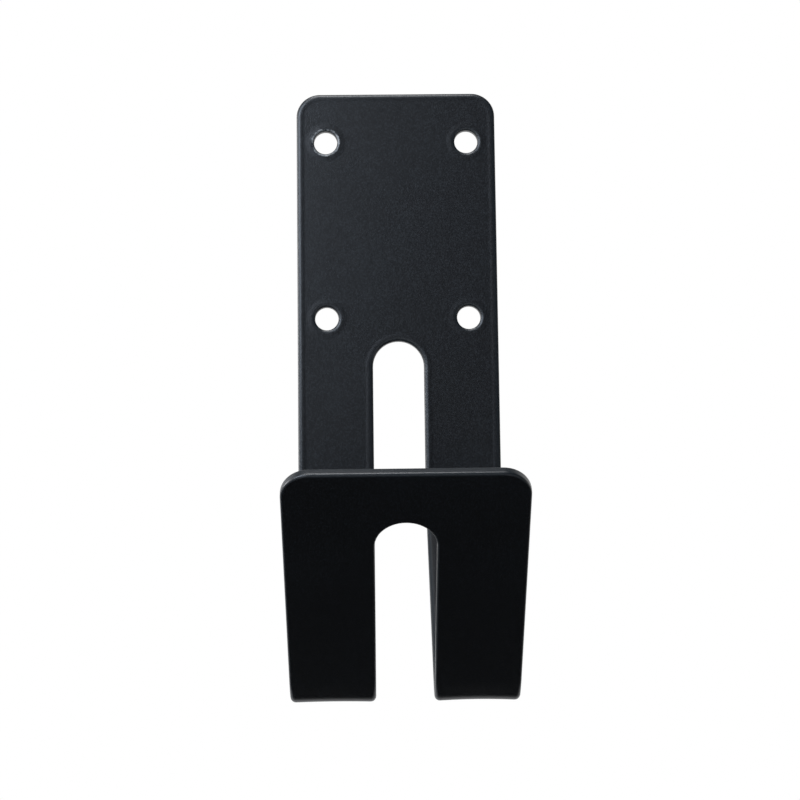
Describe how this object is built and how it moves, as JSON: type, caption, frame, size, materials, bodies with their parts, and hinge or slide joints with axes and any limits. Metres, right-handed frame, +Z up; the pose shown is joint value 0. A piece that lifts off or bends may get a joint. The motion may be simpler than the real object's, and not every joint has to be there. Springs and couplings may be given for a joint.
{
  "type": "ev connector holder",
  "caption": "Wall bracket folded from one coated steel strip: a screwed back plate, a sloping strut and a rising lip form a V trough that holds a charging connector, with a long slot.",
  "frame": {"origin": "middle of the four screw holes, on the back plate's wall face", "axes": "+X across the strip, +Y into the wall, +Z up the back plate; the trough opens towards -Y and up"},
  "size_m": [0.06, 0.1147, 0.1804],
  "materials": {
    "coated_steel": "fine-textured satin black powder coat"
  },
  "bodies": {
    "root": {"holder": "coated_steel"}
  },
  "joints": []
}
